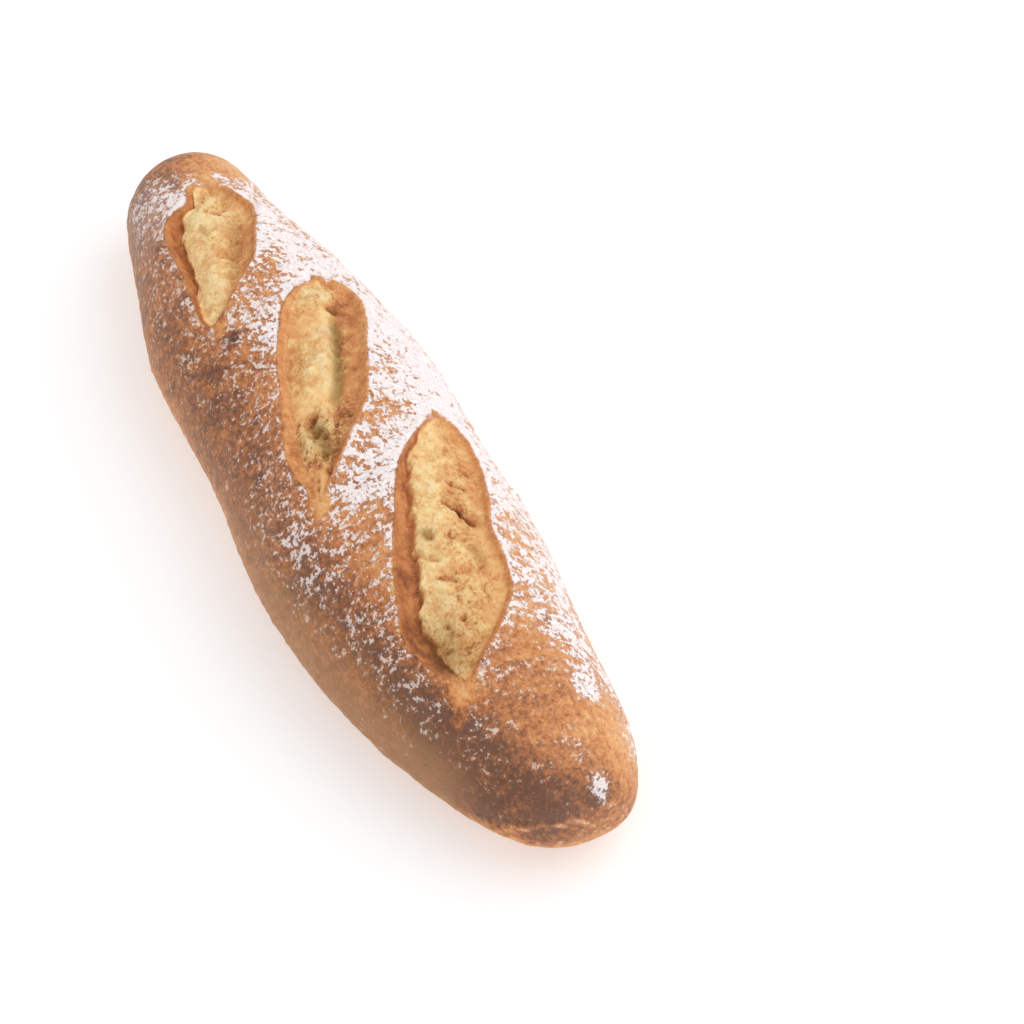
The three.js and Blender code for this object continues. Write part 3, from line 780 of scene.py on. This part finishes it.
class Finish:
    """A procedural material, made node by node."""

    def __init__(self, name):
        self.material = bpy.data.materials.new(name)
        self.material.use_nodes = True
        self.tree = self.material.node_tree
        self.tree.nodes.clear()

    def node(self, kind, settings, sockets):
        node = self.tree.nodes.new("ShaderNode" + kind)
        for key, value in settings.items():
            if key == "stops":
                ramp = node.color_ramp
                while len(ramp.elements) < len(value):
                    ramp.elements.new(0.5)
                for element, (place, colour) in zip(ramp.elements, value):
                    element.position, element.color = place, colour
            else:
                setattr(node, key, value)
        for key, value in sockets.items():
            value = getattr(value, "socket", value)
            if isinstance(value, bpy.types.NodeSocket):
                self.tree.links.new(value, node.inputs[key])
            else:
                node.inputs[key].default_value = value
        return node

    def field(self, kind, settings, sockets, output=0):
        return Field(self, self.node(kind, settings, sockets).outputs[output])

    def attribute(self, name, output="Fac"):
        return self.field("Attribute", dict(attribute_name=name), {}, output)

    def mix(self, factor, first, second):
        """A colour, from first where factor is 0 to second where it is 1."""
        return self.field("Mix", dict(data_type="RGBA"), {0: factor, 6: first, 7: second}, 2)

    def noise(self, vector, size, detail=2.0, roughness=0.5, distortion=0.0):
        """Noise whose largest lumps are about size millimetres."""
        return self.field("TexNoise", {}, {"Vector": vector, "Scale": 1000 / size, "Detail": detail,
                                           "Roughness": roughness, "Distortion": distortion})


class CrustFinish(Finish):
    """Browned crust under flour, and the torn crumb inside the slashes."""

    def __init__(self):
        super().__init__("baked_crust")
        self.place = self.field("TexCoord", {}, {}, "Object")
        self.helix = self.attribute("helix", "Vector")
        names = ("edge", "dust", "film", "bake", "tone", "torn", "olive")
        self.look = {name: self.attribute(name) for name in names}
        self.mottle = self.noise(self.helix, 9, 1.5, 0.5, 0.3)
        self.fleck = self.noise(self.place, 3.4, 3, 0.6)
        self.pebble = self.noise(self.place, 1.7, 3, 0.6)
        self.speck = self.noise(self.place, 1.2, 3, 0.7)
        self.grit = self.noise(self.place, 0.8, 2, 0.6)
        weave = self.noise(self.place, 6, 3, 0.6, 0.8)
        self.crease = 1 - ((weave - 0.5).sum("ABSOLUTE") * 26).clamped()
        self.patch = (self.noise(self.helix, 6, 1, 0.5, 0.3) * 0.3
                      + self.noise(self.place, 2.8, 4, 0.65, 0.3) * 0.7)
        self.fine = self.noise(self.place, 1.0, 4, 0.7)
        self.grainy = self.noise(self.place, 2.8, 3, 0.55)
        self.holes = self.noise(self.place, 1.6, 2, 0.5).between(0.44, 0.3)

    def ramp(self, factor, *stops):
        """A colour along stops of (factor, colour)."""
        return self.field("ValToRGB", dict(stops=stops), {0: factor})

    def crust(self):
        """Orange-brown, darker where it baked hardest and where shade is painted, mottled, with a net
        of fine creases that painted shade darkens.
        """
        broad = self.noise(self.place, 22, 2, 0.5)
        # crease darkens the crust as painted shade in its fine creases
        depth = (self.look["bake"] + (broad - 0.5) * 0.35 + (self.mottle - 0.5) * 0.4
                 + (self.fleck - 0.5) * 0.4 + (self.pebble - 0.5) * 0.95 + (self.grit - 0.5) * 0.6
                 + self.crease * 0.05)
        browned = self.ramp(
            depth, (0.0, tint(234, 180, 122)), (0.25, tint(222, 154, 92)), (0.5, tint(198, 124, 68)),
            (0.75, tint(152, 90, 48)), (1.0, tint(104, 62, 40)))
        # Outside the slashes olive is the golden foot, partly painted light bounced from the table.
        return self.mix(self.look["olive"].clamped() * 0.75, browned, tint(172, 122, 76))

    def flour(self):
        """Specks and patches that thin out away from where it was dusted, over a thin film."""
        dust, bake = self.look["dust"], self.look["bake"]
        drift = self.noise(self.place, 12, 2, 0.5)
        cover = ((self.patch - 0.5) * 2.5 + (self.speck - 0.5) * 2.0 + (drift - 0.5) * 0.5
                 - (self.pebble - 0.5) * 0.9)
        specks = ((cover + dust * 1.2 - 0.56).between(0.07, 0.25)
                  * (dust.between(0.1, 0.75) * 0.35 + 0.65) * (1.2 - bake * 0.45))
        veil = (self.look["film"] + dust * 0.06 + (self.patch - 0.5) * 0.12).clamped()
        outside = (self.look["edge"] + (self.speck - 0.5) * 1.4 + (self.patch - 0.5) * 2.4)
        return (1 - (1 - specks) * (1 - veil)) * outside.between(-0.1, 0.6)

    def powder(self):
        """The colour of flour, toasted where there is little of it."""
        white = self.mix(self.grit.between(0.3, 0.7), tint(238, 222, 220), tint(254, 248, 248))
        return self.mix(self.look["dust"].between(0.2, 0.6), tint(240, 214, 192), white)

    def crumb(self):
        """A smooth browned band, then crumb, torn and porous where it is rough, with painted shade in
        the holes.
        """
        torn, olive = self.look["torn"], self.look["olive"]
        # holes darken the crumb as painted shade in its pores
        paleness = (self.look["tone"] + (self.grainy - 0.5) * 0.65
                    + (self.fine - 0.5) * (torn * 1.1 + 0.6) - self.holes * (torn * 0.2 + 0.04))
        opened = self.ramp(
            paleness, (0.0, tint(134, 80, 48)), (0.2, tint(178, 108, 62)), (0.4, tint(210, 143, 88)),
            (0.6, tint(231, 180, 117)), (0.8, tint(243, 205, 143)), (1.0, tint(249, 221, 166)))
        warm = self.noise(self.place, 6, 2, 0.5).between(0.5, 0.68) * 0.45
        opened = self.mix(warm, opened, tint(220, 150, 94))
        # In the grooves, olive is painted shade.
        greener = (olive + (self.fine - 0.5) * 0.4 * olive).clamped() * 0.8
        return self.mix(greener, opened, tint(146, 116, 58))

    def relief(self, flour, outside):
        """Fine relief in metres: grainy crust, powdery flour, and porous crumb."""
        torn = self.look["torn"]
        grains = self.noise(self.place, 0.9, 3, 0.6)
        pores = self.field("TexVoronoi", dict(feature="F1"), {"Vector": self.place, "Scale": 1000 / 1.1})
        crust = (self.mottle * 0.2 + self.fleck * 0.35 + self.pebble * 0.4 + grains * 0.18
                 + flour * 0.2 - self.crease * 0.12) * 0.001
        crumb = (self.fine * (torn * 0.55 + 0.2) + pores * 0.45 * torn + self.grainy * 0.3
                 - self.holes * torn * 0.3) * 0.001
        return crust * outside + crumb * (1 - outside)

    def made(self):
        """The whole material, with its shader."""
        edge, flour = self.look["edge"], self.flour()
        skin = self.mix(flour, self.crust(), self.powder())
        rim = (edge + (self.speck - 0.5) * 0.8 + (self.fleck - 0.5) * 1.6).between(-1.0, 0.6)
        outside = edge.between(-0.3, 0.3)
        bumped = self.field("Bump", {}, {
            "Strength": 0.85, "Distance": 1.0, "Height": self.relief(flour, outside)})
        shader = self.node("BsdfPrincipled", {}, {
            "Base Color": self.mix(rim, self.crumb(), skin),
            "Roughness": 0.5 + flour * 0.4 + (1 - outside) * 0.22,
            "Normal": bumped, "Specular IOR Level": 0.35})
        self.node("OutputMaterial", {}, {"Surface": shader.outputs[0]})
        return self.material


loaf = bpy.data.objects.new("crusty_loaf", loaf_mesh())
bpy.context.collection.objects.link(loaf)
loaf.data.materials.append(CrustFinish().made())
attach(loaf, "root")
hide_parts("loaf")

# ---------------------------------------------------------------- floor, light and camera

# Places and sizes are metres, powers watts and angles degrees.
FLOOR_HALF = 6.0
FLOOR_GLOW = 0.36  # keeps the floor near white in the loaf's shadow
KEY_LIGHT = dict(position=(0.3, 1.3, 1.5), size=2.4, power=17)
FILL_LIGHT = dict(position=(0.9, -0.9, 1.0), size=1.4, power=2)
ROOM_LIGHT = 0.78
CAMERA_PLACE = (0.7038, -0.3156 + SIDE_SHIFT / 1000, 0.9418)
CAMERA_TILT, CAMERA_TURN = 39.45, 62.57
LENS_MM, SENSOR_MM = 144.7, 36


def floor_finish():
    f = Finish("pale_floor")
    place = f.field("TexCoord", {}, {}, "Object")
    tone = f.noise(place, 300, 2, 0.5)
    colour = f.mix(tone, tint(216, 216, 218), tint(220, 220, 220))
    shader = f.node("BsdfPrincipled", {}, {
        "Base Color": colour, "Roughness": 0.9,
        "Emission Color": (1, 1, 1, 1), "Emission Strength": FLOOR_GLOW})
    f.node("OutputMaterial", {}, {"Surface": shader.outputs[0]})
    return f.material


def floor():
    bm = bmesh.new()
    bmesh.ops.create_grid(bm, x_segments=1, y_segments=1, size=FLOOR_HALF)
    mesh = bpy.data.meshes.new("floor")
    bm.to_mesh(mesh)
    bm.free()
    plane = bpy.data.objects.new("floor", mesh)
    bpy.context.collection.objects.link(plane)
    mesh.materials.append(floor_finish())


def area_light(name, position, size, power):
    """A round light that faces the loaf."""
    lamp = bpy.data.lights.new(name, "AREA")
    lamp.shape, lamp.size, lamp.energy = "DISK", size, power
    piece = bpy.data.objects.new(name, lamp)
    piece.location = position
    piece.rotation_euler = (-Vector(position)).to_track_quat("-Z", "Y").to_euler()
    bpy.context.collection.objects.link(piece)


def room_light():
    world = bpy.data.worlds.new("soft_room")
    bpy.context.scene.world = world
    world.use_nodes = True
    background = world.node_tree.nodes["Background"]
    background.inputs["Color"].default_value = (1, 1, 1, 1)
    background.inputs["Strength"].default_value = ROOM_LIGHT


def camera():
    lens = bpy.data.cameras.new("camera")
    lens.lens, lens.sensor_width = LENS_MM, SENSOR_MM
    piece = bpy.data.objects.new("camera", lens)
    piece.location = CAMERA_PLACE
    piece.rotation_euler = (math.radians(CAMERA_TILT), 0, math.radians(CAMERA_TURN))
    bpy.context.collection.objects.link(piece)
    bpy.context.scene.camera = piece


bpy.context.scene.view_settings.view_transform = "Standard"
bpy.context.scene.view_settings.look = "None"
floor()
area_light("key", **KEY_LIGHT)
area_light("fill", **FILL_LIGHT)
room_light()
camera()
